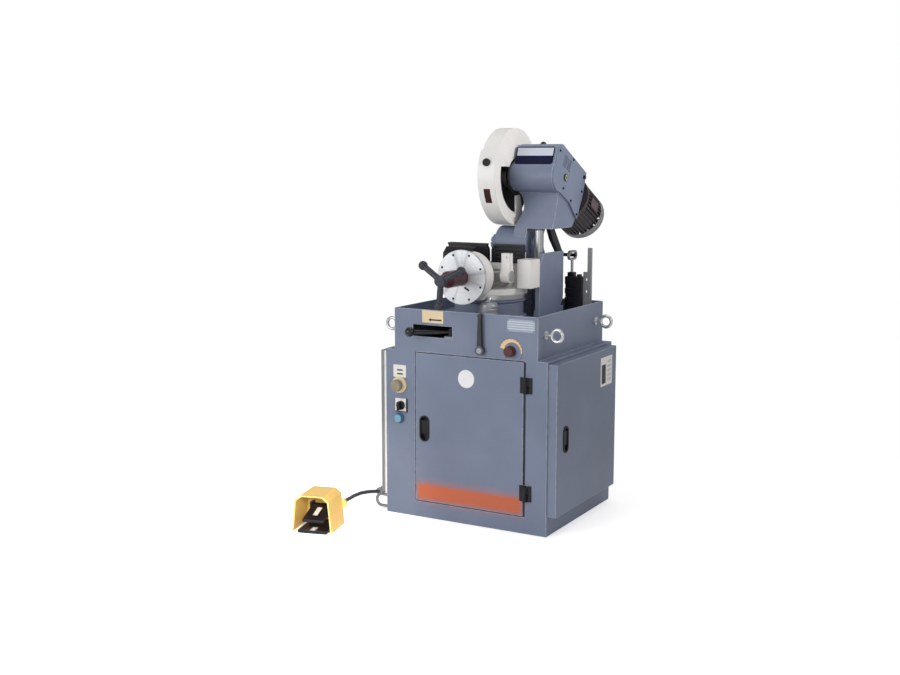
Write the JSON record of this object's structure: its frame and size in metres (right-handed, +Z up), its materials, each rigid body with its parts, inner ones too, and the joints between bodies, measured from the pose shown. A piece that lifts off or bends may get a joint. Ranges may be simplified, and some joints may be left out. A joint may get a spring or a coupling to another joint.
{
  "type": "circular cold saw",
  "caption": "Manual cold saw with a tilting motor and gear head, guarded circular blade and swivelling vise on a cabinet with doors, tray, controls and foot pedal.",
  "frame": {"origin": "on the floor, at the middle of the cabinet's foot", "axes": "+X to the operator's right, +Y to the back, +Z up"},
  "size_m": [0.8127, 1.1048, 1.3002],
  "materials": {
    "paint": "blue-grey textured paint",
    "grey_paint": "plain grey paint",
    "cream_paint": "off-white enamel",
    "steel": "machined steel",
    "blade_steel": "dark steam-treated steel with ground teeth",
    "black_metal": "black paint",
    "black_plastic": "matt black",
    "brown_plastic": "dark red-brown",
    "brown_iron": "dark red-brown enamel on cast iron",
    "cream_plastic": "off-white",
    "blue_plastic": "clear blue",
    "yellow_paint": "yellow enamel",
    "rubber": "black sheath"
  },
  "bodies": {
    "frame": {"cabinet_shell": "paint", "front_panel": "paint", "coolant_tray": "paint", "left_seal": "cream_plastic", "left_cover": "grey_paint", "eye_bolts": "steel", "door_hinges": "black_metal", "coolant_tank": "steel", "control_gear": "grey_paint", "control_plates": "cream_plastic", "pedestal": "paint", "clamp_pillar": "steel", "column": "paint", "pivot_pin": "steel", "ram_body": "paint", "check_block": "black_metal", "check_bracket": "grey_paint", "pedal_hood": "yellow_paint", "pedal_base": "black_metal", "cord": "rubber"},
    "front_door": {"front_door": "paint", "front_door_fittings": "black_plastic"},
    "front_latch": {"front_latch": "black_plastic"},
    "side_door": {"side_door": "paint", "side_door_fittings": "black_plastic"},
    "side_latch": {"side_latch": "black_plastic"},
    "stop_button": {"stop_button": "brown_plastic"},
    "selector_knob": {"selector_knob": "black_plastic"},
    "lamp_button": {"lamp_button": "blue_plastic"},
    "feed_knob": {"feed_knob": "brown_plastic"},
    "clamp_lever": {"clamp_lever": "black_metal"},
    "slot_lever": {"slot_lever": "black_metal"},
    "swivel": {"swivel_table": "steel", "vise_body": "cream_paint", "fences": "black_metal", "vise_cylinder": "cream_paint", "cylinder_cover": "steel"},
    "jaw": {"moving_jaw": "black_metal", "cross_shaft": "steel", "burr_arm": "cream_paint"},
    "handwheel": {"vise_screw": "steel", "handwheel": "brown_iron"},
    "head": {"head_casting": "paint", "gear_cover": "paint", "oil_fittings": "black_plastic", "motor_body": "black_metal", "fan_cover": "grey_paint", "rear_lever": "black_metal", "spindle_bearing": "steel", "fixed_guard": "cream_paint"},
    "rotor": {"rotor_shaft": "steel"},
    "worm": {"worm_shaft": "steel"},
    "spindle": {"spindle": "steel", "blade": "blade_steel", "blade_flange": "steel"},
    "moving_guard": {"moving_guard": "cream_paint", "guard_knob": "black_plastic"},
    "ram_rod": {"ram_rod": "steel"},
    "check_rod": {"check_rod": "steel"},
    "treadle": {"treadle": "black_metal"}
  },
  "joints": [
    {"name": "front_door_swing", "type": "hinge", "parent": "frame", "child": "front_door", "pos_m": [0.226, -0.268, 0.3], "axis": [0, 0, 1], "range_deg": [0, 110]},
    {"name": "front_latch_pull", "type": "hinge", "parent": "front_door", "child": "front_latch", "pos_m": [-0.15, -0.258, 0.3315], "axis": [-1, 0, 0], "range_deg": [0, 50]},
    {"name": "side_door_swing", "type": "hinge", "parent": "frame", "child": "side_door", "pos_m": [0.308, 0.236, 0.3], "axis": [0, 0, 1], "range_deg": [0, 110]},
    {"name": "side_latch_pull", "type": "hinge", "parent": "side_door", "child": "side_latch", "pos_m": [0.329, -0.186, 0.3345], "axis": [0, -1, 0], "range_deg": [0, 50]},
    {"name": "stop_press", "type": "slide", "parent": "frame", "child": "stop_button", "axis": [0, 1, 0], "range_m": [0, 0.006], "stiffness_N_per_m": 800, "springref_m": -0.004},
    {"name": "lamp_press", "type": "slide", "parent": "frame", "child": "lamp_button", "axis": [0, 1, 0], "range_m": [0, 0.004], "stiffness_N_per_m": 800, "springref_m": -0.003},
    {"name": "selector_turn", "type": "hinge", "parent": "frame", "child": "selector_knob", "pos_m": [-0.239, -0.26, 0.377], "axis": [0, 1, 0], "range_deg": [-45, 45]},
    {"name": "feed_turn", "type": "hinge", "parent": "frame", "child": "feed_knob", "pos_m": [0.171, -0.26, 0.592], "axis": [0, 1, 0], "range_deg": [-135, 135]},
    {"name": "clamp_swing", "type": "hinge", "parent": "frame", "child": "clamp_lever", "pos_m": [0.063, -0.26, 0.587], "axis": [0, 1, 0], "range_deg": [-90, 0]},
    {"name": "slot_lever_swing", "type": "hinge", "parent": "frame", "child": "slot_lever", "pos_m": [-0.06, -0.235, 0.634], "axis": [0, 0, 1], "range_deg": [0, 45]},
    {"name": "vise_swivel", "type": "hinge", "parent": "frame", "child": "swivel", "pos_m": [-0.03, -0.03, 0.74], "axis": [0, 0, 1], "range_deg": [-45, 0]},
    {"name": "handwheel_turn", "type": "hinge", "parent": "swivel", "child": "handwheel", "pos_m": [-0.03, -0.3, 0.815], "axis": [0, 1, 0], "range_deg": [0, 2520]},
    {"name": "jaw_slide", "type": "slide", "parent": "swivel", "child": "jaw", "axis": [0, 1, 0], "range_m": [0, 0.0701]},
    {"name": "head_tilt", "type": "hinge", "parent": "frame", "child": "head", "pos_m": [0, 0.13, 0.90524], "axis": [1, 0, 0], "range_deg": [0, 60]},
    {"name": "guard_swing", "type": "hinge", "parent": "head", "child": "moving_guard", "pos_m": [-0.03, 0.11072, 1.13716], "axis": [1, 0, 0], "range_deg": [-140.1, 0]},
    {"name": "motor_spin", "type": "hinge", "parent": "head", "child": "rotor", "pos_m": [0.097, 0.11686, 1.14974], "axis": [0, 0.8988, -0.4384], "continuous": true},
    {"name": "worm_spin", "type": "hinge", "parent": "head", "child": "worm", "pos_m": [0.097, 0.13351, 1.1839], "axis": [0, 0.8988, -0.4384], "continuous": true},
    {"name": "spindle_spin", "type": "hinge", "parent": "head", "child": "spindle", "pos_m": [0, 0.11072, 1.13716], "axis": [1, 0, 0], "continuous": true},
    {"name": "ram_slide", "type": "slide", "parent": "frame", "child": "ram_rod", "axis": [0, 0, 1], "range_m": [-0.0485, 0]},
    {"name": "check_rod_slide", "type": "slide", "parent": "frame", "child": "check_rod", "axis": [0, 0, 1], "range_m": [0, 0.128]},
    {"name": "treadle_press", "type": "hinge", "parent": "frame", "child": "treadle", "pos_m": [-0.40201, -0.489, 0.064], "axis": [0.9659, 0.2588, 0], "range_deg": [0, 12], "stiffness_Nm_per_rad": 2, "springref_deg": -17.19}
  ],
  "couplings": [
    {"joint": "jaw_slide", "follows": "handwheel_turn", "m_per_rad": 0.0015915},
    {"joint": "guard_swing", "follows": "head_tilt", "ratio": -2.3333},
    {"joint": "ram_slide", "follows": "head_tilt", "m_per_rad": -0.0458},
    {"joint": "check_rod_slide", "follows": "head_tilt", "m_per_rad": 0.122},
    {"joint": "worm_spin", "follows": "motor_spin", "ratio": -0.58333},
    {"joint": "spindle_spin", "follows": "motor_spin", "ratio": 0.024306}
  ]
}
